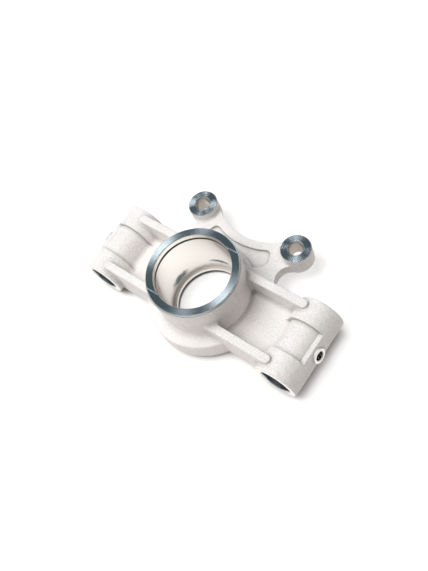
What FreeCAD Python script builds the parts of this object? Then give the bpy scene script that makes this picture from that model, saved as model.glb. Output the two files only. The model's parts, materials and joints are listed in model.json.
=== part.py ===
# Rear hub carrier: one aluminium casting with a bearing bore, two pivot tubes and a caliper bracket.
# Millimetres. Z is the hub axis and points out of the machined ring, X runs from pivot tube to
# pivot tube, Y runs along the pivot tubes towards the caliper bracket.
# The origin is on the hub axis, at the height of the two pivot axes.

import FreeCAD
import Part

import math
import os

import Sketcher

NODE = "hub_carrier"

SIZES = [
    ("pivot_spacing", 172.0, "between the axes of the two pivot tubes"),
    ("pivot_length", 63.5, "pivot tube over its machined ends"),
    ("pivot_diameter", 35.0, "outside of a pivot tube"),
    ("pivot_bore", 24.0, "bushing bore of a pivot tube"),
    ("pivot_chamfer", 0.8, "lead-in at each end of a pivot bore"),
    ("waist_diameter", 30.0, "pivot tube between its two collars"),
    ("waist_length", 25.4, "gap between the two collars"),
    ("ledge_height", 10.7, "flat end of the waist, above the pivot axis"),
    ("ring_height", 39.0, "machined ring face above the pivot axes"),
    ("ring_diameter", 72.0, "turned outside of the ring"),
    ("ring_band", 1.5, "height of the turned outside"),
    ("ring_chamfer", 0.5, "outer edge of the ring face"),
    ("barrel_diameter", 72.8, "cast outside of the hub barrel"),
    ("hub_length", 55.0, "ring face to the bottom of the hub"),
    ("foot_diameter", 70.0, "hub below the flange"),
    ("bore_diameter", 60.0, "bearing seat"),
    ("bore_chamfer", 0.3, "bearing lead-in at the ring face"),
    ("seat_depth", 49.8, "ring face to the shoulder"),
    ("passage_diameter", 55.0, "passage through the shoulder"),
    ("groove_diameter", 63.0, "circlip groove"),
    ("groove_width", 2.15, "circlip groove"),
    ("groove_depth", 4.4, "ring face to the near side of the circlip groove"),
    ("flange_diameter", 94.0, "round flange of the hub"),
    ("flange_height", 5.0, "top of the flange and of the bracket plate"),
    ("arm_depth", 12.0, "underside of the arms and the flange below the pivot axes"),
    ("rib_height", 19.0, "top of the ribs above the pivot axes"),
    ("rib_gap", 41.0, "between the two ribs of an arm"),
    ("rib_width", 6.8, "thickness of a rib"),
    ("rib_reach", 5.5, "rounded end of a rib short of the pivot axis"),
    ("web_thickness", 6.0, "floor of an arm"),
    ("plate_thickness", 9.5, "caliper bracket"),
    ("ear_spacing", 90.5, "between the two caliper bolts"),
    ("ear_offset", 61.2, "caliper bolts from the hub axis"),
    ("ear_diameter", 24.4, "cast outside of an ear"),
    ("boss_diameter", 23.4, "turned top of an ear"),
    ("boss_height", 11.5, "machined bolt face above the pivot axes"),
    ("boss_band", 0.6, "height of the turned outside of an ear"),
    ("bolt_hole", 11.0, "caliper bolt hole"),
    ("bolt_chamfer", 1.0, "edge of a caliper bolt hole"),
    ("arch_radius", 50.4, "outer edge of the bracket between the ears"),
    ("notch_radius", 11.5, "between an ear and the arm beside it"),
    ("dish_border", 6.8, "rim between the arch and the dished middle of the bracket"),
    ("dish_depth", 2.0, "dished middle of the bracket"),
    ("dish_head_width", 53.0, "dish at the arch"),
    ("dish_width", 61.0, "dish at its widest"),
    ("dish_width_offset", 43.5, "widest place of the dish from the hub axis"),
    ("dish_hip_width", 56.0, "dish where it turns in to the barrel"),
    ("dish_hip_offset", 38.5, "that turn from the hub axis"),
    ("dish_foot_width", 44.0, "dish at the foot of the barrel"),
    ("dish_corner", 4.0, "upright corners of the dish"),
    ("nipple_boss", 11.8, "grease nipple boss"),
    ("nipple_reach", 18.4, "grease nipple face from the pivot axis"),
    ("nipple_tilt", 12.0, "grease nipple above the plane of the arms, in degrees"),
    ("nipple_hole", 7.0, "tapping hole of the grease nipple"),
    ("nipple_countersink", 0.6, "edge of the tapping hole"),
    ("barrel_fillet", 4.5, "foot of the barrel on the flange"),
    ("ear_fillet", 2.0, "foot of an ear on the bracket"),
    ("rib_fillet", 2.0, "ribs to barrel and flange"),
    ("foot_fillet", 1.2, "ribs to the floor of an arm and to the pivot tubes"),
    ("root_fillet", 4.0, "floor of an arm to its pivot tube"),
    ("edge_fillet", 1.0, "outer cast edges"),
    ("rim_fillet", 1.6, "top rim of the flange"),
]

# How near a sample point lies to the surface that an edge is picked by.
TOUCH = 1e-4

doc = FreeCAD.newDocument(NODE)
sheet = doc.addObject("Spreadsheet::Sheet", "Sizes")
for row, (alias, value, meaning) in enumerate(SIZES, 1):
    sheet.set("A%d" % row, alias)
    sheet.set("B%d" % row, str(value))
    sheet.set("C%d" % row, meaning)
    sheet.setAlias("B%d" % row, alias)
doc.recompute()

body = doc.addObject("PartDesign::Body", NODE)
body.Label = NODE
origin_plane = {item.Role: item for item in body.Origin.OriginFeatures}

# Places that several features share, written as expressions of the sizes.
PIVOT_X = "(Sizes.pivot_spacing / 2)"
PIVOT_R = "(Sizes.pivot_diameter / 2)"
WAIST_R = "(Sizes.waist_diameter / 2)"
BARREL_R = "(Sizes.barrel_diameter / 2)"
BORE_R = "(Sizes.bore_diameter / 2)"
RIB_IN = "(Sizes.rib_gap / 2)"
RIB_MID = "((Sizes.rib_gap + Sizes.rib_width) / 2)"
RIB_OUT = "(Sizes.rib_gap / 2 + Sizes.rib_width)"
NOSE_X = "(%s - Sizes.rib_reach - Sizes.rib_width / 2)" % PIVOT_X
PLATE_BOTTOM = "(Sizes.flange_height - Sizes.plate_thickness)"
BAND_BOTTOM = "(Sizes.boss_height - Sizes.boss_band)"
HUB_BOTTOM = "(Sizes.ring_height - Sizes.hub_length)"
BELOW_HUB = "(%s - Sizes.arm_depth)" % HUB_BOTTOM
EAR_X = "(Sizes.ear_spacing / 2)"
EAR_R = "(Sizes.ear_diameter / 2)"
ARCH_REACH = "(Sizes.arch_radius + %s)" % EAR_R
ARCH_DROP = "sqrt(%s ^ 2 - %s ^ 2)" % (ARCH_REACH, EAR_X)
ARCH_Y = "(Sizes.ear_offset + %s)" % ARCH_DROP
# A notch is at least just over half as wide as the gap between the rib and the ear, so it meets both.
NOTCH_LEAST = "(0.51 * (Sizes.ear_offset - %s - %s))" % (RIB_OUT, EAR_R)
NOTCH_R = "max(Sizes.notch_radius; %s)" % NOTCH_LEAST
NOTCH_Y = "(%s + %s)" % (RIB_OUT, NOTCH_R)
NOTCH_REACH = "(%s + %s)" % (NOTCH_R, EAR_R)
NOTCH_X = "(%s + sqrt(%s ^ 2 - (Sizes.ear_offset - %s) ^ 2))" % (EAR_X, NOTCH_REACH, NOTCH_Y)


def size(expression):
    """Value of an expression of the sizes."""
    return float(sheet.evalExpression(expression))


def new_sketch(name, plane, offset=None):
    """Sketch on one of the body's origin planes, moved along the plane's normal."""
    sketch = body.newObject("Sketcher::SketchObject", name)
    sketch.AttachmentSupport = [(origin_plane[plane], "")]
    sketch.MapMode = "FlatFace"
    if offset is not None:
        sketch.setExpression("AttachmentOffset.Base.z", offset)
    return sketch


def pin(sketch, kind, geometry, point, expression):
    """Bind one coordinate of a point, or a radius, to an expression."""
    if kind == "Radius":
        index = sketch.addConstraint(Sketcher.Constraint(kind, geometry, size(expression)))
    else:
        index = sketch.addConstraint(Sketcher.Constraint(kind, geometry, point, size(expression)))
    sketch.setExpression("Constraints[%d]" % index, expression)


def add_circle(sketch, x, y, radius):
    centre = FreeCAD.Vector(size(x), size(y), 0)
    circle = sketch.addGeometry(Part.Circle(centre, FreeCAD.Vector(0, 0, 1), size(radius)), False)
    pin(sketch, "Radius", circle, None, radius)
    pin(sketch, "DistanceX", circle, 3, x)
    pin(sketch, "DistanceY", circle, 3, y)


def add_outline(sketch, corners, bends=None):
    """Closed outline through corners given as pairs of expressions.

    bends turns the side that starts at a corner into an arc: its centre's x and y, and its radius.
    """
    bends = bends or {}
    points = [FreeCAD.Vector(size(x), size(y), 0) for x, y in corners]
    sides = []
    for k, start in enumerate(points):
        end = points[(k + 1) % len(points)]
        curve = Part.LineSegment(start, end)
        if k in bends:
            x, y, radius = bends[k]
            centre = FreeCAD.Vector(size(x), size(y), 0)
            outwards = ((start + end) * 0.5 - centre).normalize()
            curve = Part.Arc(start, centre + outwards * size(radius), end)
        side = sketch.addGeometry(curve, False)
        forward = sketch.getPoint(side, 1).distanceToPoint(start) < TOUCH
        sides.append((side, 1, 2) if forward else (side, 2, 1))
    for k, (x, y) in enumerate(corners):
        side, start, end = sides[k]
        following, next_start, next_end = sides[(k + 1) % len(corners)]
        sketch.addConstraint(Sketcher.Constraint("Coincident", side, end, following, next_start))
        pin(sketch, "DistanceX", side, start, x)
        pin(sketch, "DistanceY", side, start, y)
        if k in bends:
            pin(sketch, "Radius", side, None, bends[k][2])


def add_box(sketch, x0, y0, x1, y1):
    add_outline(sketch, [(x0, y0), (x1, y0), (x1, y1), (x0, y1)])


def add_feature(kind, name, sketch, midplane=False, reverse=False, length=None):
    feature = body.newObject("PartDesign::" + kind, name)
    feature.Profile = sketch
    feature.Midplane = midplane
    feature.Reversed = reverse
    if length is None:
        feature.ReferenceAxis = (sketch, ["V_Axis"])
        feature.Angle = 360
    else:
        feature.setExpression("Length", length)
    before = 0.0 if feature.BaseFeature is None else feature.BaseFeature.Shape.Volume
    doc.recompute()
    change = feature.Shape.Volume - before
    if kind in ("Pocket", "Groove"):
        change = -change
    if change <= 0:
        raise RuntimeError("%s changes nothing" % name)
    return feature


def pad(name, sketch, length, midplane=False, reverse=False):
    return add_feature("Pad", name, sketch, midplane, reverse, length)


def pocket(name, sketch, length, midplane=False, reverse=False):
    return add_feature("Pocket", name, sketch, midplane, reverse, length)


def dress(kind, name, amount, test):
    """Fillet or chamfer on the edges of the body that the test picks by five points of each."""
    base = body.Tip
    picked = []
    for k, edge in enumerate(base.Shape.Edges, 1):
        first, last = edge.ParameterRange
        if test([edge.valueAt(first + (last - first) * part / 4) for part in range(5)]):
            picked.append("Edge%d" % k)
    feature = body.newObject("PartDesign::" + kind, name)
    feature.Base = (base, picked)
    feature.setExpression("Radius" if kind == "Fillet" else "Size", amount)
    doc.recompute()
    return feature


def fillet(name, radius, test):
    return dress("Fillet", name, radius, test)


def chamfer(name, width, test):
    return dress("Chamfer", name, width, test)


def on_plane(points, axis, level):
    return all(abs(getattr(point, axis) - level) < TOUCH for point in points)


def on_planes(points, axis, level):
    """On one of two planes that mirror each other."""
    return on_plane(points, axis, level) or on_plane(points, axis, -level)


def between(points, axis, low, high):
    return all(low - TOUCH < getattr(point, axis) < high + TOUCH for point in points)


def round_z(points, radius, x=0.0, y=0.0):
    """On an upright cylinder, or on one of the two that mirror each other."""
    return all(abs(math.hypot(abs(point.x) - x, point.y - y) - radius) < TOUCH for point in points)


def round_hub(points, radius):
    return all(abs(math.hypot(point.x, point.y) - radius) < TOUCH for point in points)


def round_pivot(points, radius):
    """On a cylinder round one of the two pivot axes."""
    x = size(PIVOT_X)
    return all(abs(math.hypot(abs(point.x) - x, point.z) - radius) < TOUCH for point in points)


# Foot of the hub, which stands out below the flange.
hub_foot_sketch = new_sketch("hub_foot_outline", "XY_Plane")
add_circle(hub_foot_sketch, "0", "0", "Sizes.foot_diameter / 2")
pad("hub_foot", hub_foot_sketch, "-" + HUB_BOTTOM, reverse=True)

# Flange round the hub, with the concave foot of the barrel on it.
flange_sketch = new_sketch("flange_outline", "XY_Plane", "-Sizes.arm_depth")
add_circle(flange_sketch, "0", "0", "Sizes.flange_diameter / 2")
pad("flange", flange_sketch, "Sizes.flange_height + Sizes.arm_depth")
flange_top = size("Sizes.flange_height")
fillet("flange_rim", "Sizes.rim_fillet", lambda points: on_plane(points, "z", flange_top))

# The foot of the barrel leaves a flat land on the flange inside its rounded rim.
foot_room = "((Sizes.flange_diameter - Sizes.barrel_diameter) / 2 - 2 * Sizes.rim_fillet)"
foot_radius = "min(Sizes.barrel_fillet; %s)" % foot_room
foot_inside = "(%s - %s)" % (BARREL_R, foot_radius)
foot_outside = "(%s + %s)" % (BARREL_R, foot_radius)
foot_top = "(Sizes.flange_height + %s)" % foot_radius
barrel_foot_sketch = new_sketch("barrel_foot_outline", "XZ_Plane")
barrel_foot_corners = [
    (foot_inside, "0"),
    (foot_outside, "0"),
    (foot_outside, "Sizes.flange_height"),
    (BARREL_R, foot_top),
    (foot_inside, foot_top),
]
barrel_foot_bends = {2: (foot_outside, foot_top, foot_radius)}
add_outline(barrel_foot_sketch, barrel_foot_corners, barrel_foot_bends)
add_feature("Revolution", "barrel_foot", barrel_foot_sketch)

# Two ribs that run from pivot tube to pivot tube.
rib_sketch = new_sketch("rib_outline", "XY_Plane", "-Sizes.arm_depth")
for side in ("", "-"):
    add_box(rib_sketch, "-" + NOSE_X, side + RIB_IN, NOSE_X, side + RIB_OUT)
pad("ribs", rib_sketch, "Sizes.rib_height + Sizes.arm_depth")
nose_sketch = new_sketch("nose_outline", "XY_Plane", "-Sizes.arm_depth")
for side_x in ("", "-"):
    for side_y in ("", "-"):
        add_circle(nose_sketch, side_x + NOSE_X, side_y + RIB_MID, "Sizes.rib_width / 2")
pad("noses", nose_sketch, "Sizes.rib_height + Sizes.arm_depth")
rib_top = size("Sizes.rib_height")
fillet("rib_tops", "Sizes.edge_fillet", lambda points: on_plane(points, "z", rib_top))

# Between the ribs the arms are open down to a floor at the height of the pivot axes.
gap_sketch = new_sketch("gap_outline", "XY_Plane")
add_box(gap_sketch, "-" + PIVOT_X, "-" + RIB_IN, PIVOT_X, RIB_IN)
pocket("gap", gap_sketch, "Sizes.rib_height", reverse=True)
floor_sketch = new_sketch("floor_outline", "XY_Plane", "-Sizes.web_thickness")
add_box(floor_sketch, "-" + PIVOT_X, "-" + RIB_MID, PIVOT_X, RIB_MID)
pad("floor", floor_sketch, "Sizes.web_thickness")

# Caliper bracket with its two ears.
ARCH_TOUCH_X = "(%s * Sizes.arch_radius / %s)" % (EAR_X, ARCH_REACH)
ARCH_TOUCH_Y = "(Sizes.ear_offset + %s * %s / %s)" % (EAR_R, ARCH_DROP, ARCH_REACH)
plate_sketch = new_sketch("plate_outline", "XY_Plane", PLATE_BOTTOM)
plate_side = [
    (NOTCH_X, RIB_MID),
    (NOTCH_X, NOTCH_Y),
    (EAR_X, "Sizes.ear_offset"),
    (ARCH_TOUCH_X, ARCH_TOUCH_Y),
]
add_outline(plate_sketch, plate_side + [("-" + x, y) for x, y in reversed(plate_side)])
pad("plate", plate_sketch, "Sizes.plate_thickness")
ear_sketch = new_sketch("ear_outline", "XY_Plane", PLATE_BOTTOM)
for side in ("", "-"):
    add_circle(ear_sketch, side + EAR_X, "Sizes.ear_offset", EAR_R)
pad("ears", ear_sketch, "%s - %s" % (BAND_BOTTOM, PLATE_BOTTOM))

# Pivot tubes.
tube_sketch = new_sketch("tube_outline", "XZ_Plane")
for side in ("", "-"):
    add_circle(tube_sketch, side + PIVOT_X, "0", PIVOT_R)
pad("tubes", tube_sketch, "Sizes.pivot_length", midplane=True)
tube_end = size("Sizes.pivot_length / 2")
fillet("tube_ends", "Sizes.edge_fillet", lambda points: on_planes(points, "y", tube_end))

# Hub barrel, from the underside of the flange to the turned band under the ring face.
barrel_sketch = new_sketch("barrel_outline", "XY_Plane", "-Sizes.arm_depth")
add_circle(barrel_sketch, "0", "0", BARREL_R)
pad("barrel", barrel_sketch, "Sizes.ring_height - Sizes.ring_band + Sizes.arm_depth")

# Grease nipple bosses, from the pivot axes outwards and a little upwards.
NIPPLE_STEPS = (("boss", "Sizes.nipple_boss / 2", pad), ("hole", "Sizes.nipple_hole / 2", pocket))
for name, side, turn, reverse in (("right", "", -1, False), ("left", "-", 1, True)):
    for what, radius, make in NIPPLE_STEPS:
        sketch = new_sketch("%s_nipple_%s_outline" % (name, what), "YZ_Plane")
        sketch.AttachmentOffset = FreeCAD.Placement(
            FreeCAD.Vector(0, 0, size(side + PIVOT_X)),
            FreeCAD.Rotation(FreeCAD.Vector(turn, 0, 0), size("Sizes.nipple_tilt")),
        )
        sketch.setExpression("AttachmentOffset.Base.z", side + PIVOT_X)
        sketch.setExpression("AttachmentOffset.Rotation.Angle", "Sizes.nipple_tilt")
        add_circle(sketch, "0", "0", radius)
        outwards = reverse if what == "boss" else not reverse
        make("%s_nipple_%s" % (name, what), sketch, "Sizes.nipple_reach", reverse=outwards)

# Machined hub: turned ring, bearing seat, circlip groove, and the passage through the rest.
ring_sketch = new_sketch("ring_outline", "XY_Plane", "Sizes.ring_height")
add_circle(ring_sketch, "0", "0", "Sizes.ring_diameter / 2")
pad("ring", ring_sketch, "Sizes.ring_band", reverse=True)
groove_top = "(Sizes.ring_height - Sizes.groove_depth)"
groove_bottom = "(Sizes.ring_height - Sizes.groove_depth - Sizes.groove_width)"
shoulder = "(Sizes.ring_height - Sizes.seat_depth)"
bore_corners = [
    ("0", BELOW_HUB),
    ("Sizes.passage_diameter / 2", BELOW_HUB),
    ("Sizes.passage_diameter / 2", shoulder),
    (BORE_R, shoulder),
    (BORE_R, groove_bottom),
    ("Sizes.groove_diameter / 2", groove_bottom),
    ("Sizes.groove_diameter / 2", groove_top),
    (BORE_R, groove_top),
    (BORE_R, "Sizes.ring_height"),
    ("0", "Sizes.ring_height"),
]
bore_sketch = new_sketch("bore_outline", "XZ_Plane")
add_outline(bore_sketch, bore_corners)
add_feature("Groove", "bore", bore_sketch)

# Machined ears: turned outside, bolt face and bolt hole.
boss_sketch = new_sketch("boss_outline", "XY_Plane", "Sizes.boss_height")
hole_sketch = new_sketch("bolt_hole_outline", "XY_Plane", "Sizes.boss_height")
for side in ("", "-"):
    add_circle(boss_sketch, side + EAR_X, "Sizes.ear_offset", "Sizes.boss_diameter / 2")
    add_circle(hole_sketch, side + EAR_X, "Sizes.ear_offset", "Sizes.bolt_hole / 2")
pad("bosses", boss_sketch, "Sizes.boss_band", reverse=True)
pocket("bolt_holes", hole_sketch, "Sizes.boss_height - " + PLATE_BOTTOM)

# Bushing bores of the pivot tubes.
bushing_sketch = new_sketch("bushing_outline", "XZ_Plane")
for side in ("", "-"):
    add_circle(bushing_sketch, side + PIVOT_X, "0", "Sizes.pivot_bore / 2")
pocket("bushing_bores", bushing_sketch, "Sizes.pivot_length", midplane=True)

# Lead-ins and machined edges.
ring_top = size("Sizes.ring_height")


def pivot_end(points):
    return on_planes(points, "y", tube_end) and round_pivot(points, size("Sizes.pivot_bore / 2"))


def bolt_edge(points):
    round_bolt = round_z(points, size("Sizes.bolt_hole / 2"), size(EAR_X), size("Sizes.ear_offset"))
    at_face = on_plane(points, "z", size("Sizes.boss_height"))
    return round_bolt and (at_face or on_plane(points, "z", size(PLATE_BOTTOM)))


def seat_edge(points):
    return on_plane(points, "z", ring_top) and round_hub(points, size(BORE_R))


def ring_edge(points):
    return on_plane(points, "z", ring_top) and round_hub(points, size("Sizes.ring_diameter / 2"))


def nipple_edge(points):
    tilt = math.radians(size("Sizes.nipple_tilt"))
    for point in points:
        x = abs(point.x) - size(PIVOT_X)
        along = x * math.cos(tilt) + point.z * math.sin(tilt)
        across = math.hypot(point.z * math.cos(tilt) - x * math.sin(tilt), point.y)
        if abs(along - size("Sizes.nipple_reach")) > TOUCH:
            return False
        if abs(across - size("Sizes.nipple_hole / 2")) > TOUCH:
            return False
    return True


chamfer("nipple_countersinks", "Sizes.nipple_countersink", nipple_edge)
chamfer("seat_lead_in", "Sizes.bore_chamfer", seat_edge)
chamfer("ring_chamfer", "Sizes.ring_chamfer", ring_edge)
chamfer("pivot_lead_ins", "Sizes.pivot_chamfer", pivot_end)
chamfer("bolt_chamfers", "Sizes.bolt_chamfer", bolt_edge)

# Casting fillets between the walls.
barrel_r = size(BARREL_R)
flange_r = size("Sizes.flange_diameter / 2")
rib_in = size(RIB_IN)
rib_out = size(RIB_OUT)
pivot_r = size(PIVOT_R)
under = -size("Sizes.arm_depth")


def ear_foot(points):
    round_ear = round_z(points, size(EAR_R), size(EAR_X), size("Sizes.ear_offset"))
    return round_ear and on_plane(points, "z", flange_top)


def rib_root(points):
    """Ribs where they leave the barrel, its foot and the flange."""
    if round_hub(points, barrel_r) and between(points, "z", 0, rib_top):
        return not (on_plane(points, "z", 0) or on_plane(points, "z", size(foot_top)))
    beside = on_planes(points, "y", rib_out) and between(points, "x", -flange_r, flange_r)
    on_foot = between(points, "z", flange_top, size(foot_top))
    on_rim = round_hub(points, flange_r)
    return beside and (on_foot or on_rim)


def floor_root(points):
    return on_plane(points, "z", 0) and round_pivot(points, pivot_r)


def rib_foot(points):
    """Ribs where they stand on the floor of an arm and on the pivot tubes."""
    beside_floor = on_planes(points, "y", rib_in) or round_hub(points, barrel_r)
    on_floor = on_plane(points, "z", 0) and beside_floor
    beside = all(rib_in - TOUCH < abs(point.y) < rib_out + TOUCH for point in points)
    on_tube = beside and round_pivot(points, pivot_r) and between(points, "z", under, rib_top)
    return on_floor or (on_tube and not on_plane(points, "z", under) and not on_plane(points, "z", 0))


fillet("ear_feet", "Sizes.ear_fillet", ear_foot)
fillet("rib_roots", "Sizes.rib_fillet", rib_root)
fillet("floor_roots", "Sizes.root_fillet", floor_root)
fillet("rib_feet", "Sizes.foot_fillet", rib_foot)

# Outline of the bracket: an arch between the ears and a notch between each ear and its arm.
outline_sketch = new_sketch("bracket_outline", "XY_Plane", PLATE_BOTTOM)
add_circle(outline_sketch, "0", ARCH_Y, "Sizes.arch_radius")
for side in ("", "-"):
    add_circle(outline_sketch, side + NOTCH_X, NOTCH_Y, NOTCH_R)
pocket("arch_and_notches", outline_sketch, "Sizes.rib_height", reverse=True)

# Dished middle of the bracket, from a rim along the arch to the foot of the barrel.
DISH_HEAD_X = "(Sizes.dish_head_width / 2)"
DISH_RADIUS = "(Sizes.arch_radius + Sizes.dish_border)"
DISH_HEAD_Y = "(%s - sqrt(%s ^ 2 - %s ^ 2))" % (ARCH_Y, DISH_RADIUS, DISH_HEAD_X)
DISH_FOOT_X = "(Sizes.dish_foot_width / 2)"
DISH_FOOT_Y = "sqrt(%s ^ 2 - %s ^ 2)" % (foot_outside, DISH_FOOT_X)
dish_side = [
    (DISH_HEAD_X, DISH_HEAD_Y),
    ("(Sizes.dish_width / 2)", "Sizes.dish_width_offset"),
    ("(Sizes.dish_hip_width / 2)", "Sizes.dish_hip_offset"),
    (DISH_FOOT_X, DISH_FOOT_Y),
]
dish_corners = dish_side + [("-" + x, y) for x, y in reversed(dish_side)]
dish_sketch = new_sketch("dish_outline", "XY_Plane", "Sizes.flange_height")
dish_bends = {3: ("0", "0", foot_outside), 7: ("0", ARCH_Y, DISH_RADIUS)}
add_outline(dish_sketch, dish_corners, dish_bends)
pocket("dish", dish_sketch, "Sizes.dish_depth")
dish_floor = size("Sizes.flange_height - Sizes.dish_depth")


def dish_corner(points):
    upright = on_plane(points, "x", points[0].x) and on_plane(points, "y", points[0].y)
    corners = [(size(x), size(y)) for x, y in dish_side[:3]]
    near = any(math.hypot(abs(points[0].x) - x, points[0].y - y) < TOUCH for x, y in corners)
    return upright and near and between(points, "z", dish_floor, flange_top)


fillet("dish_corners", "Sizes.dish_corner", dish_corner)

# Waist of each pivot tube between its collars: round over the top down to the floor of the arm,
# and cut off flat on the outer side.
LEDGE_DROP = "sqrt(%s ^ 2 - Sizes.ledge_height ^ 2)" % WAIST_R
ROOT_X = "sqrt((%s + Sizes.root_fillet) ^ 2 - Sizes.root_fillet ^ 2)" % WAIST_R
ROOT_SHARE = "(%s / (%s + Sizes.root_fillet))" % (WAIST_R, WAIST_R)
CLEAR = "(2 * %s)" % PIVOT_R
waist_sketch = new_sketch("waist_outline", "XZ_Plane")
for side, inwards, outwards in (("", "-", "+"), ("-", "+", "-")):
    x = side + PIVOT_X
    corners = [
        ("%s %s %s" % (x, inwards, ROOT_X), "0"),
        ("%s %s %s * %s" % (x, inwards, ROOT_X, ROOT_SHARE), "Sizes.root_fillet * " + ROOT_SHARE),
        ("%s %s %s" % (x, outwards, LEDGE_DROP), "Sizes.ledge_height"),
        ("%s %s %s" % (x, outwards, CLEAR), "Sizes.ledge_height"),
        ("%s %s %s" % (x, outwards, CLEAR), CLEAR),
        ("%s %s %s" % (x, inwards, CLEAR), CLEAR),
        ("%s %s %s" % (x, inwards, CLEAR), "0"),
    ]
    bends = {0: (corners[0][0], "Sizes.root_fillet", "Sizes.root_fillet"), 1: (x, "0", WAIST_R)}
    add_outline(waist_sketch, corners, bends)
pocket("waists", waist_sketch, "Sizes.waist_length", midplane=True)

# The body stands as modelled, in the frame of the whole part.
body.Placement = FreeCAD.Placement(FreeCAD.Vector(0, 0, 0), FreeCAD.Rotation())
doc.recompute()
for item in doc.Objects:
    if "Invalid" in item.State or "Error" in item.State:
        raise RuntimeError("%s failed: %s" % (item.Name, item.State))
if body.Shape.isNull() or not body.Shape.isValid():
    raise RuntimeError("%s is not a valid shape" % NODE)
if len(body.Shape.Solids) != 1:
    raise RuntimeError("%s is in %d solids" % (NODE, len(body.Shape.Solids)))

os.makedirs("parts", exist_ok=True)
body.Shape.exportStep("parts/%s.step" % NODE)
print("%s: %.0f mm3, box %s" % (NODE, body.Shape.Volume, body.Shape.BoundBox))
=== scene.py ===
# Hub carrier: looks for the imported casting. Metres, in the frame of the part: Z is the hub axis,
# X runs from pivot tube to pivot tube, and the origin is on the hub axis between the pivot axes.

import json
import math
from types import SimpleNamespace

import bpy
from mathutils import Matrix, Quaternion, Vector


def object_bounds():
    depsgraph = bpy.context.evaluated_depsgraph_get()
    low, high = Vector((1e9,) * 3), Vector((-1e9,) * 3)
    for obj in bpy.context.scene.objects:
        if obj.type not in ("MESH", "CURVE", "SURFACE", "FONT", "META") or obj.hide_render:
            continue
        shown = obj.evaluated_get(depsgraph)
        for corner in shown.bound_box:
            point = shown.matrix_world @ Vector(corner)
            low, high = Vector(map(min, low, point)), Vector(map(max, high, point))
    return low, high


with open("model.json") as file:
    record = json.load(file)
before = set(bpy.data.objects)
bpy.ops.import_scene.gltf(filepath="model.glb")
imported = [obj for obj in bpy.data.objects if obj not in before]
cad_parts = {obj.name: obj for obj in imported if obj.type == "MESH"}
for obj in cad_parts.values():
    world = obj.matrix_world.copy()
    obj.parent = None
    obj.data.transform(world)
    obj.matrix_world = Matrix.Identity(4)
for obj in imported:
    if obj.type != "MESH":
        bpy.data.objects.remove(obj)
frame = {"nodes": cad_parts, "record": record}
cad_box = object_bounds()

MM = 0.001
MOUNTS = {mount["name"]: mount for mount in frame["record"]["mounts"]}

# Places and radii that the record gives.
LOWEST = cad_box[0][2]
RING_TOP = MOUNTS["ring_face"]["pos_m"][2]
BORE_R = MOUNTS["hub_bore"]["dims"]["r_mm"] * MM
PASSAGE_R = MOUNTS["hub_passage"]["dims"]["r_mm"] * MM
PIVOT_X = MOUNTS["right_pivot_bore"]["pos_m"][0]
PIVOT_BORE_R = MOUNTS["right_pivot_bore"]["dims"]["r_mm"] * MM
EAR_X = MOUNTS["caliper_bolts"]["dims"]["spacing_x_mm"] * MM / 2
EAR_Y = MOUNTS["caliper_bolts"]["pos_m"][1]
BOLT_HOLE_R = MOUNTS["caliper_bolts"]["dims"]["hole_r_mm"] * MM
NIPPLE_HOLE_R = MOUNTS["right_grease_hole"]["dims"]["r_mm"] * MM

# Limits of the machined zones, as the part's source has them.
RING_BAND = 1.5 * MM
SEAT_EDGE = 0.1 * MM
GROOVE_R = 31.5 * MM
GROOVE_TOP = RING_TOP - 2.0 * MM
SHOULDER = -10.8 * MM
PASSAGE_SHADE = -14.0 * MM
HUB_FOOT_TOP = -12.0 * MM
HUB_FOOT_R = 1.2 * BORE_R
SCRIBE_Y = 27.9 * MM
SCRIBE_WIDTH = 0.9 * MM
BOSS_R = 11.7 * MM
BOSS_BOTTOM = 10.9 * MM
BOLT_CHAMFER = 1.0 * MM
TUBE_R = 17.5 * MM
TUBE_END = 31.75 * MM
PIVOT_CHAMFER = 0.8 * MM
NIPPLE_R = 5.9 * MM
NIPPLE_REACH = 18.4 * MM
NIPPLE_TILT = math.radians(12.0)
# Pitch and crest share of the painted glints on the nipple's threads.
THREAD_PITCH = 1.0 * MM
THREAD_CREST = 0.55
EDGE = 0.05 * MM

# Colours of the cast skin and of the machined metal, and the painted shade, highlights and reflections
# on them.
CAST_LIGHT = (0.94, 0.92, 0.905, 1.0)
CAST_DARK = (0.64, 0.62, 0.60, 1.0)
CAST_WARM = (0.92, 0.87, 0.84, 1.0)
# Painted shade that the skin darkens to in its creases.
PAINTED_CREASE_SHADE = (0.38, 0.37, 0.35, 1.0)
FACE_BLUE = (0.84, 0.92, 0.98, 1.0)
FACE_GREY = (0.93, 0.94, 0.95, 1.0)
BORE_METAL = (0.90, 0.86, 0.815, 1.0)
# Reamed metal of the pivot bores, darkened by painted shade for the inside of the tubes.
REAMED_METAL_PAINTED_SHADE = (0.50, 0.55, 0.58, 1.0)
# Drilled metal of the bolt holes, darkened by painted shade for the inside of the holes.
DRILLED_METAL_PAINTED_SHADE = (0.50, 0.455, 0.41, 1.0)
# Painted shade: near-black colour of the grease nipple's tapped hole.
TAPPED_HOLE_PAINTED_SHADE = (0.06, 0.055, 0.05, 1.0)
# Painted shade: near-black colour of the hub passage.
PASSAGE_PAINTED_SHADE = (0.05, 0.05, 0.045, 1.0)
# Painted shade: dark grey colour of the groove.
GROOVE_PAINTED_SHADE = (0.30, 0.28, 0.26, 1.0)
# Painted highlight: bright metal of the bolt holes' rims.
RIM_PAINTED_GLINT = (0.97, 0.98, 0.98, 1.0)
# Painted dark reflection on the bearing seat.
SEAT_PAINTED_REFLECTION = (0.05, 0.075, 0.085, 1.0)

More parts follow.
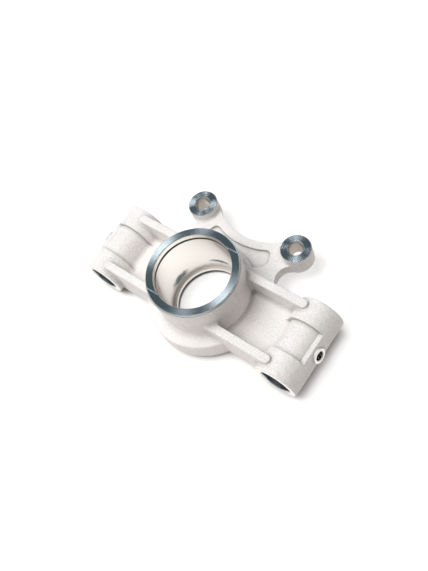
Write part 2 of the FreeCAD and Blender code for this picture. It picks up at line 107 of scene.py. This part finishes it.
# Finish of the skin and of the metal.
CAST_METALLIC = 0.25
CAST_ROUGHNESS = 0.55
TURNED_ROUGHNESS = 0.2
FACED_ROUGHNESS = 0.5
TURNED_ANISOTROPY = 0.95
CLOUD_SCALE = 70.0
SAND_SCALE = 1000.0
FACE_SCALE = 30.0
UNEVEN_SCALE = 240.0
UNEVEN_SHARE = 1.5
GRAIN_SCALE = 1100.0
GRAIN_DEPTH = 0.35 * MM
MARK_SCALE = 5200.0
MARK_DEPTH = 0.01 * MM
MARK_STRENGTH = 0.2
SOFT_EDGE = 0.7 * MM
SOFT_SAMPLES = 4
# Reach and samples of the painted crease shade.
CREASE_REACH = 4.0 * MM
CREASE_SAMPLES = 8

# Painted dark reflections on the bearing seat: azimuth in degrees, height, reach round the bore and
# half height.
SEAT_REFLECTION_PATCHES = [
    (178.0, -4.0 * MM, 10.5 * MM, 4.5 * MM),
    (105.0, -2.0 * MM, 10.0 * MM, 2.4 * MM),
]
# Streaks that break up the edges of the painted dark reflections.
STREAK_SCALE = 350.0
STREAK_STRETCH = (1.0, 1.0, 4.0)
STREAK_SWING = 0.35

# Floor: its colour, and what it adds to it for the eye and for the metal, with painted light under the
# hub bore and a painted contact shadow near the part.
WHITE = (1.0, 1.0, 1.0, 1.0)
FLOOR_COLOUR = (0.52, 0.50, 0.485, 1.0)
FLOOR_GLOW = 0.60
# Painted light: the floor under the hub bore glows brighter and keeps no contact shadow.
BORE_PAINTED_LIGHT = 0.75
FAR_GLOW = 1.0
FAR_START = 0.20
FAR_END = 0.60
# Reach of the painted contact shadow, within which the floor's glow fades near the part.
CONTACT_REACH = 11.0 * MM
CONTACT_SAMPLES = 8
FLOOR_HALF = 3.0

# Lamp overhead, a little to the near left.
LAMP_AT = (-0.30, -0.22, 1.2)
LAMP_SIDE = 0.9
LAMP_POWER = 20.5

# Studio round the part.
ROOM_WHITE = (0.63, 0.61, 0.595, 1.0)
ROOM_LOW = (0.22, 0.205, 0.19, 1.0)
ROOM_BLUE = (0.055, 0.08, 0.092, 1.0)
ROOM_OLIVE = (0.06, 0.055, 0.045, 1.0)
WINDOW = (5.0, 5.4, 5.6, 1.0)
SKYLIGHT = (4.2, 4.5, 4.7, 1.0)

# Patches of the studio over ROOM_LOW, each over the one before: azimuth, elevation, the angle
# within which a patch is full, the angle where it ends, all in degrees, and its light.
ROOM_PATCHES = [
    (0.0, 90.0, 30.0, 85.0, ROOM_WHITE),
    (154.0, 59.0, 38.0, 50.0, ROOM_BLUE),
    (161.7, 41.4, 3.0, 7.0, WINDOW),
    (147.6, 69.5, 1.5, 4.5, SKYLIGHT),
    (188.5, 68.7, 2.0, 4.0, SKYLIGHT),
    (141.0, 42.2, 1.5, 3.5, SKYLIGHT),
    (-5.0, 5.0, 35.0, 75.0, ROOM_OLIVE),
]

# Camera of the photograph, fitted to the turned rings, the tubes and the ears.
CAMERA_AT = Vector((234.9, -105.0, 438.4)) * MM
CAMERA_LOOKS_AT = Vector((1.27, 8.50, 0.0)) * MM
CAMERA_ROLL = math.radians(-31.49)
FOCAL_LENGTH = 55.17
SENSOR_WIDTH = 36.0
CLIP_START = 0.01


class Graph:
    """Short calls for building the nodes of one material or of the world."""

    def __init__(self, tree):
        self.tree = tree
        tree.nodes.clear()

    def node(self, kind, **settings):
        made = self.tree.nodes.new(kind)
        for key, value in settings.items():
            setattr(made, key, value)
        return made

    def plug(self, socket, value):
        if hasattr(value, "is_output"):
            self.tree.links.new(value, socket)
        else:
            socket.default_value = value

    def math(self, operation, a, b=None):
        made = self.node("ShaderNodeMath", operation=operation)
        self.plug(made.inputs[0], a)
        if b is not None:
            self.plug(made.inputs[1], b)
        return made.outputs[0]

    def times(self, a, b):
        return self.math("MULTIPLY", a, b)

    def minus(self, a, b):
        return self.math("SUBTRACT", a, b)

    def size(self, value):
        """Number without its sign."""
        return self.math("ABSOLUTE", value)

    def above(self, value, limit):
        return self.math("GREATER_THAN", value, limit)

    def below(self, value, limit):
        return self.math("LESS_THAN", value, limit)

    def both(self, first, *others):
        """Mask of where all the masks are."""
        for mask in others:
            first = self.math("MULTIPLY", first, mask)
        return first

    def either(self, first, *others):
        """Mask of where any of the masks is."""
        for mask in others:
            first = self.math("MAXIMUM", first, mask)
        return first

    def vector(self, operation, a, b=None):
        made = self.node("ShaderNodeVectorMath", operation=operation)
        self.plug(made.inputs[0], a)
        if b is not None:
            self.plug(made.inputs[1], b)
        return made.outputs["Value"] if operation in ("LENGTH", "DOT_PRODUCT") else made.outputs[0]

    def combine(self, x, y, z):
        made = self.node("ShaderNodeCombineXYZ")
        for socket, value in zip(made.inputs, (x, y, z)):
            self.plug(socket, value)
        return made.outputs[0]

    def split(self, vector):
        made = self.node("ShaderNodeSeparateXYZ")
        self.plug(made.inputs[0], vector)
        return made.outputs[0], made.outputs[1], made.outputs[2]

    def noise(self, vector, scale, detail=2.0, roughness=0.5):
        made = self.node("ShaderNodeTexNoise")
        self.plug(made.inputs["Vector"], vector)
        made.inputs["Scale"].default_value = scale
        made.inputs["Detail"].default_value = detail
        made.inputs["Roughness"].default_value = roughness
        return made.outputs["Fac"]

    def open_share(self, reach, samples):
        """Share of the space within a reach that is open: low in creases and under the part."""
        made = self.node("ShaderNodeAmbientOcclusion", samples=samples)
        made.inputs["Distance"].default_value = reach
        return made.outputs["AO"]

    def ramp(self, value, low, high, to_low=0.0, to_high=1.0):
        made = self.node("ShaderNodeMapRange", clamp=True)
        for socket, number in zip(made.inputs, (value, low, high, to_low, to_high)):
            self.plug(socket, number)
        return made.outputs[0]

    def mix(self, share, a, b, kind="RGBA"):
        """Colour or vector between a and b."""
        made = self.node("ShaderNodeMix", data_type=kind)
        self.plug(made.inputs["Factor"], share)
        self.plug(made.inputs["A"], a)
        self.plug(made.inputs["B"], b)
        return made.outputs["Result"]

    def blend(self, share, a, b):
        """Number between a and b."""
        return self.math("ADD", a, self.times(share, self.minus(b, a)))

    def bump(self, height, distance, strength, normal):
        made = self.node("ShaderNodeBump")
        made.inputs["Distance"].default_value = distance
        self.plug(made.inputs["Height"], height)
        self.plug(made.inputs["Strength"], strength)
        self.plug(made.inputs["Normal"], normal)
        return made.outputs["Normal"]


def new_material(name):
    material = bpy.data.materials.new(name)
    material.use_nodes = True
    return material, Graph(material.node_tree)


def machined_zones(g, here):
    """Masks of the machined surfaces and the lines from their axes, by where a point lies."""
    on = SimpleNamespace()
    x, y, z = g.split(here)
    side = g.math("SIGN", x)
    flat = g.combine(x, y, 0.0)

    # Hub: ring face with its turned band, bearing seat, groove, shoulder, passage and foot.
    hub_r = g.vector("LENGTH", flat)
    ring = g.above(z, RING_TOP - RING_BAND - EDGE)
    seat = g.below(hub_r, GROOVE_R + EDGE)
    foot = g.both(g.below(z, HUB_FOOT_TOP - EDGE), g.below(hub_r, HUB_FOOT_R))
    on.ring_face = g.both(ring, g.above(hub_r, BORE_R + SEAT_EDGE))
    in_groove = g.both(g.above(hub_r, BORE_R + 2 * EDGE), g.below(z, GROOVE_TOP))
    on.groove = g.both(in_groove, seat, g.above(z, 0.0))
    on.passage = g.both(g.below(hub_r, PASSAGE_R + EDGE), g.below(z, PASSAGE_SHADE))
    on.shoulder = g.both(g.below(g.size(g.minus(z, SHOULDER)), EDGE), seat)
    near_line = g.below(g.size(g.minus(g.size(y), SCRIBE_Y)), SCRIBE_WIDTH / 2)
    scribed = g.both(on.ring_face, near_line, g.above(g.times(x, y), 0.0))

    # Ears: bolt face, bolt hole and the rim between them.
    on.from_ear = g.vector("SUBTRACT", flat, g.combine(g.times(side, EAR_X), EAR_Y, 0.0))
    ear_r = g.vector("LENGTH", on.from_ear)
    bolt_face = g.both(g.below(ear_r, BOSS_R + EDGE), g.above(z, BOSS_BOTTOM))
    on.boss = g.either(bolt_face, g.below(ear_r, BOLT_HOLE_R + BOLT_CHAMFER + EDGE))
    on.bolt_hole = g.below(ear_r, BOLT_HOLE_R + EDGE)
    in_rim = g.both(g.above(ear_r, BOLT_HOLE_R + EDGE), g.below(ear_r, BOLT_HOLE_R + BOLT_CHAMFER))
    on.rim = g.both(on.boss, in_rim)
    on.broken = g.either(scribed, on.rim)

    # Pivot tubes: bored inside and faced at the ends.
    axis = g.combine(g.times(side, PIVOT_X), 0.0, 0.0)
    on.from_axis = g.vector("SUBTRACT", g.combine(x, 0.0, z), axis)
    pivot_r = g.vector("LENGTH", on.from_axis)
    on.tube_bore = g.below(pivot_r, PIVOT_BORE_R + PIVOT_CHAMFER + EDGE)
    tube_end = g.above(g.size(y), TUBE_END - EDGE)
    on.tube_face = g.both(tube_end, g.below(pivot_r, TUBE_R + EDGE))

    # Grease nipple bosses: along and across their tilted axes, the faced end and the hole.
    tilt_x, tilt_z = math.cos(NIPPLE_TILT), math.sin(NIPPLE_TILT)
    out = g.minus(g.size(x), PIVOT_X)
    on.along_nipple = g.math("ADD", g.times(out, tilt_x), g.times(z, tilt_z))
    across = g.minus(g.times(z, tilt_x), g.times(out, tilt_z))
    nipple_r = g.vector("LENGTH", g.combine(y, across, 0.0))
    past_face = g.above(on.along_nipple, NIPPLE_REACH - EDGE)
    nipple_end = g.both(g.below(nipple_r, NIPPLE_R + EDGE), past_face)
    past_bore = g.above(on.along_nipple, PIVOT_BORE_R)
    on.nipple_hole = g.both(g.below(nipple_r, NIPPLE_HOLE_R + EDGE), past_bore)

    on.turned = g.either(ring, seat, foot, on.boss, on.tube_bore)
    on.faced = g.either(on.tube_face, nipple_end)
    on.machined = g.either(on.turned, on.faced, on.nipple_hole)
    on.turning = g.math("ADD", g.blend(on.boss, hub_r, ear_r), z)
    return on


def across_tool_marks(g, here, on):
    """Tangent across the tool marks, along which a turned surface spreads its highlights."""
    normal = g.node("ShaderNodeNewGeometry").outputs["True Normal"]
    round_hub = g.vector("CROSS_PRODUCT", (0.0, 0.0, 1.0), here)
    round_ear = g.vector("CROSS_PRODUCT", (0.0, 0.0, 1.0), on.from_ear)
    round_pivot = g.vector("CROSS_PRODUCT", (0.0, 1.0, 0.0), on.from_axis)
    marks = g.mix(on.boss, round_hub, round_ear, "VECTOR")
    marks = g.mix(g.either(on.tube_bore, on.tube_face), marks, round_pivot, "VECTOR")
    marks = g.vector("NORMALIZE", marks)
    return g.vector("NORMALIZE", g.vector("CROSS_PRODUCT", marks, normal))


def painted_seat_reflection(g, here, azimuth, height, reach, half_height):
    """Share of a painted dark reflection on the bearing seat, its edge broken up into streaks."""
    angle = math.radians(azimuth)
    middle = (BORE_R * math.cos(angle), BORE_R * math.sin(angle), height)
    shape = (1 / reach, 1 / reach, 1 / half_height)
    away = g.vector("LENGTH", g.vector("MULTIPLY", g.vector("SUBTRACT", here, middle), shape))
    streaks = g.noise(g.vector("MULTIPLY", here, STREAK_STRETCH), STREAK_SCALE, 3.0, 0.6)
    edge = g.math("ADD", away, g.ramp(streaks, 0.3, 0.7, -STREAK_SWING, STREAK_SWING))
    return g.ramp(edge, 0.45, 1.1, 0.9, 0.0)


def casting_colour(g, here, on):
    """Pale blasted skin with soft clouding, a sandy speckle and painted shade in its creases, and
    bright machined metal with painted shade in its bores, holes, passage and groove, painted glints on
    its thread crests and hole rims, and painted dark reflections on its bearing seat.
    """
    cloud = g.noise(here, CLOUD_SCALE, 3.0)
    sand = g.noise(here, SAND_SCALE, 2.0, 0.7)
    cast = g.mix(g.ramp(sand, 0.32, 0.60), CAST_DARK, CAST_LIGHT)
    cast = g.mix(g.ramp(cloud, 0.30, 0.65, 0.1, 0.6), cast, CAST_WARM)
    # Painted shade: the skin darkens in creases, where little space around it is open.
    open_share = g.open_share(CREASE_REACH, CREASE_SAMPLES)
    cast = g.mix(g.ramp(open_share, 0.40, 0.95), PAINTED_CREASE_SHADE, cast)

    face = g.mix(g.noise(here, FACE_SCALE), FACE_BLUE, FACE_GREY)
    metal = g.mix(g.either(on.ring_face, on.boss), BORE_METAL, face)
    # Painted shade: the pivot bores' metal is darkened for the shade inside the tubes.
    metal = g.mix(on.tube_bore, metal, REAMED_METAL_PAINTED_SHADE)
    # Painted shade: the bolt holes' metal is darkened for the shade inside them.
    metal = g.mix(on.bolt_hole, metal, DRILLED_METAL_PAINTED_SHADE)
    # Painted shade in the nipple's hole, near black, with painted glints in FACE_GREY on the thread
    # crests.
    wave = g.math("SINE", g.times(on.along_nipple, 2 * math.pi / THREAD_PITCH))
    thread_glints = g.mix(g.above(wave, THREAD_CREST), TAPPED_HOLE_PAINTED_SHADE, FACE_GREY)
    metal = g.mix(on.nipple_hole, metal, thread_glints)
    # Painted shade: the passage below the shoulder is near black.
    metal = g.mix(on.passage, metal, PASSAGE_PAINTED_SHADE)
    # Painted shade: the groove is dark grey.
    metal = g.mix(on.groove, metal, GROOVE_PAINTED_SHADE)
    # Painted dark reflections on the bearing seat.
    for place in SEAT_REFLECTION_PATCHES:
        metal = g.mix(painted_seat_reflection(g, here, *place), metal, SEAT_PAINTED_REFLECTION)
    # Painted highlight: bright metal on the bolt holes' rims.
    metal = g.mix(on.rim, metal, RIM_PAINTED_GLINT)
    return g.mix(on.machined, cast, metal)


def casting_relief(g, here, on):
    """Softened edges, the grain and slow unevenness of the skin, and fine tool marks."""
    softened = g.node("ShaderNodeBevel", samples=SOFT_SAMPLES)
    softened.inputs["Radius"].default_value = SOFT_EDGE
    uneven = g.times(g.noise(here, UNEVEN_SCALE, 2.0), UNEVEN_SHARE)
    grain = g.math("ADD", g.noise(here, GRAIN_SCALE, 2.0, 0.6), uneven)
    skin = g.bump(grain, GRAIN_DEPTH, g.minus(1.0, on.machined), softened.outputs[0])
    marks = g.noise(g.combine(on.turning, 0.0, 0.0), MARK_SCALE, 1.0)
    return g.bump(marks, MARK_DEPTH, g.times(on.turned, MARK_STRENGTH), skin)


def casting_material():
    """Blasted casting, with the turned and bored surfaces masked by where they lie."""
    material, g = new_material("aluminium_casting")
    here = g.node("ShaderNodeTexCoord").outputs["Object"]
    on = machined_zones(g, here)
    shader = g.node("ShaderNodeBsdfPrincipled")
    g.plug(shader.inputs["Base Color"], casting_colour(g, here, on))
    bare = g.minus(on.machined, on.shoulder)
    g.plug(shader.inputs["Metallic"], g.blend(bare, CAST_METALLIC, 1.0))
    metal_roughness = g.blend(g.either(on.faced, on.broken), TURNED_ROUGHNESS, FACED_ROUGHNESS)
    g.plug(shader.inputs["Roughness"], g.blend(on.machined, CAST_ROUGHNESS, metal_roughness))
    anisotropic = g.times(g.minus(on.turned, on.broken), TURNED_ANISOTROPY)
    g.plug(shader.inputs["Anisotropic"], anisotropic)
    g.plug(shader.inputs["Tangent"], across_tool_marks(g, here, on))
    g.plug(shader.inputs["Normal"], casting_relief(g, here, on))
    output = g.node("ShaderNodeOutputMaterial")
    g.plug(output.inputs["Surface"], shader.outputs[0])
    return material


def floor_material():
    """Floor that is white to the camera and in the metal; its glow fades near the part in a painted
    contact shadow and is brighter under the hub bore as painted light.
    """
    material, g = new_material("white_floor")
    diffuse = g.node("ShaderNodeBsdfDiffuse")
    diffuse.inputs["Color"].default_value = FLOOR_COLOUR
    path = g.node("ShaderNodeLightPath").outputs
    seen = g.either(path["Is Camera Ray"], path["Is Glossy Ray"], path["Is Transmission Ray"])
    glow = g.node("ShaderNodeEmission")
    glow.inputs["Color"].default_value = WHITE
    here = g.node("ShaderNodeTexCoord").outputs["Object"]
    from_hub = g.vector("LENGTH", g.vector("MULTIPLY", here, (1.0, 1.0, 0.0)))
    # Painted light: a brighter pool of glow on the floor under the hub bore.
    near_glow = g.ramp(from_hub, 0.5 * BORE_R, 0.9 * BORE_R, BORE_PAINTED_LIGHT, FLOOR_GLOW)
    in_bore = g.above(near_glow, FLOOR_GLOW)
    # Painted contact shadow: the glow fades where little space around the floor is open.
    open_share = g.open_share(CONTACT_REACH, CONTACT_SAMPLES)
    near = g.times(near_glow, g.either(g.ramp(open_share, 0.35, 0.85), in_bore))
    level = g.either(near, g.ramp(from_hub, FAR_START, FAR_END, 0.0, FAR_GLOW))
    g.plug(glow.inputs["Strength"], g.times(seen, level))
    both = g.node("ShaderNodeAddShader")
    g.plug(both.inputs[0], diffuse.outputs[0])
    g.plug(both.inputs[1], glow.outputs[0])
    output = g.node("ShaderNodeOutputMaterial")
    g.plug(output.inputs["Surface"], both.outputs[0])
    return material


def add_floor():
    mesh = bpy.data.meshes.new("floor")
    corners = [(-1, -1), (1, -1), (1, 1), (-1, 1)]
    mesh.from_pydata([(x * FLOOR_HALF, y * FLOOR_HALF, LOWEST) for x, y in corners], [], [(0, 1, 2, 3)])
    made = bpy.data.objects.new("floor", mesh)
    made.data.materials.append(floor_material())
    bpy.context.scene.collection.objects.link(made)
    return made


def add_lamp():
    """Square lamp over the part, which the metal doesn't mirror."""
    light = bpy.data.lights.new("overhead", "AREA")
    light.shape = "RECTANGLE"
    light.size = LAMP_SIDE
    light.size_y = LAMP_SIDE
    light.energy = LAMP_POWER
    lamp = bpy.data.objects.new("overhead", light)
    lamp.location = LAMP_AT
    lamp.rotation_mode = "QUATERNION"
    lamp.rotation_quaternion = (-Vector(LAMP_AT)).to_track_quat("-Z", "Y")
    lamp.visible_glossy = False
    bpy.context.scene.collection.objects.link(lamp)


def add_world():
    """Pale studio, white to the camera, with a dark blue part and windows that the metal mirrors."""
    world = bpy.data.worlds.new("studio")
    bpy.context.scene.world = world
    world.use_nodes = True
    g = Graph(world.node_tree)
    ray = g.vector("NORMALIZE", g.node("ShaderNodeTexCoord").outputs["Generated"])
    colour = ROOM_LOW
    for azimuth, elevation, full, end, light in ROOM_PATCHES:
        a, e = math.radians(azimuth), math.radians(elevation)
        centre = (math.cos(e) * math.cos(a), math.cos(e) * math.sin(a), math.sin(e))
        cosine = g.vector("DOT_PRODUCT", ray, centre)
        share = g.ramp(cosine, math.cos(math.radians(end)), math.cos(math.radians(full)))
        colour = g.mix(share, colour, light)
    path = g.node("ShaderNodeLightPath")
    colour = g.mix(path.outputs["Is Camera Ray"], colour, WHITE)
    background = g.node("ShaderNodeBackground")
    g.plug(background.inputs["Color"], colour)
    background.inputs["Strength"].default_value = 1.0
    output = g.node("ShaderNodeOutputWorld")
    g.plug(output.inputs["Surface"], background.outputs[0])


def add_camera():
    lens = bpy.data.cameras.new("camera")
    lens.sensor_fit = "HORIZONTAL"
    lens.sensor_width = SENSOR_WIDTH
    lens.lens = FOCAL_LENGTH
    lens.clip_start = CLIP_START
    camera = bpy.data.objects.new("camera", lens)
    camera.location = CAMERA_AT
    camera.rotation_mode = "QUATERNION"
    aim = (CAMERA_LOOKS_AT - CAMERA_AT).to_track_quat("-Z", "Y")
    camera.rotation_quaternion = aim @ Quaternion((0.0, 0.0, 1.0), CAMERA_ROLL)
    bpy.context.scene.collection.objects.link(camera)
    bpy.context.scene.camera = camera


carrier = frame["nodes"]["hub_carrier"]
for slot in carrier.material_slots:
    slot.material = casting_material()

floor = add_floor()
add_lamp()
add_world()
add_camera()
bpy.context.scene.view_settings.view_transform = "Standard"
